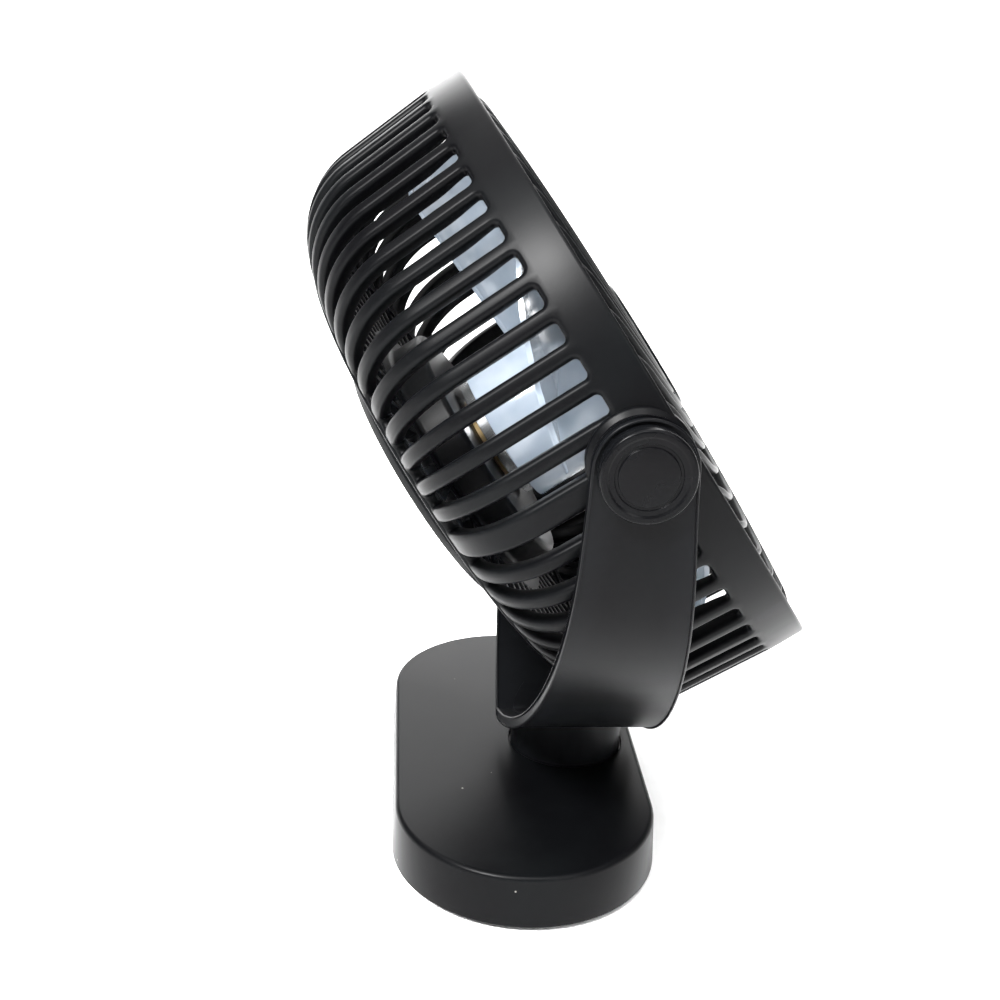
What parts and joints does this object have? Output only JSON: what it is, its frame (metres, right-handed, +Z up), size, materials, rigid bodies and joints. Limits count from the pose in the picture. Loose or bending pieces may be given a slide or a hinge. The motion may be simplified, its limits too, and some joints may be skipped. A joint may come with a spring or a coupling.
{
  "type": "desk fan",
  "caption": "Small desk fan: a round ribbed head that tilts in a U-shaped yoke on a low weighted base with half-round ends, with a slide switch behind.",
  "frame": {"origin": "middle of the underside of the base, on the surface that the fan stands on", "axes": "+Z up; the fan blows towards -Y and, at rest, 34.5 degrees upwards; +X along the tilt axis"},
  "size_m": [0.1676, 0.118, 0.1782],
  "materials": {
    "abs_black": "satin, moulded",
    "gloss_black": "gloss",
    "steel": "plated",
    "chrome_steel": "ground",
    "brass": "turned",
    "rubber": "matt",
    "acetal": "moulded",
    "board": "solder resist",
    "copper": "enamelled wire",
    "lead_red": "insulated",
    "magnet": "sintered",
    "blade_grey": "translucent, glossy"
  },
  "bodies": {
    "base": {"base_shell": "abs_black", "base_plate": "abs_black", "ballast_weight": "steel", "base_pad": "rubber", "base_screws": "steel", "swivel_bush": "acetal"},
    "yoke": {"yoke": "abs_black", "swivel_washer": "steel", "swivel_screw": "steel", "friction_washers": "rubber", "pivot_cap_left": "abs_black", "pivot_cap_right": "abs_black"},
    "rotor": {"rotor_can": "chrome_steel", "ring_magnet": "magnet", "motor_shaft": "chrome_steel", "retaining_clip": "steel", "impeller": "blade_grey"},
    "switch": {"switch_knob": "abs_black"},
    "head": {"rear_guard": "abs_black", "pivot_inserts": "brass", "pivot_washers": "steel", "pivot_screws": "steel", "front_guard": "abs_black", "front_disc": "abs_black", "guard_screw": "steel", "rear_cover": "abs_black", "rear_cover_screws": "steel", "control_board": "board", "board_parts": "gloss_black", "board_screws": "steel", "usb_socket": "steel", "switch_body": "steel", "motor_leads": "lead_red", "bearing_tube": "brass", "motor_screws": "steel", "bearings": "steel", "motor_board": "board", "stator_core": "steel", "stator_windings": "copper"}
  },
  "joints": [
    {"name": "base_swivel", "type": "hinge", "parent": "base", "child": "yoke", "pos_m": [0, -0.013, 0.009], "axis": [0, 0, 1], "continuous": true},
    {"name": "head_tilt", "type": "hinge", "parent": "yoke", "child": "head", "pos_m": [0, -0.013, 0.1143], "axis": [1, 0, 0], "range_deg": [-55.5, 54.5]},
    {"name": "fan_spin", "type": "hinge", "parent": "head", "child": "rotor", "pos_m": [0, 0.00155, 0.09945], "axis": [0, -0.8241, 0.5664], "continuous": true},
    {"name": "switch_slide", "type": "slide", "parent": "head", "child": "switch", "axis": [0, 0.5664, 0.8241], "range_m": [0, 0.004]}
  ]
}
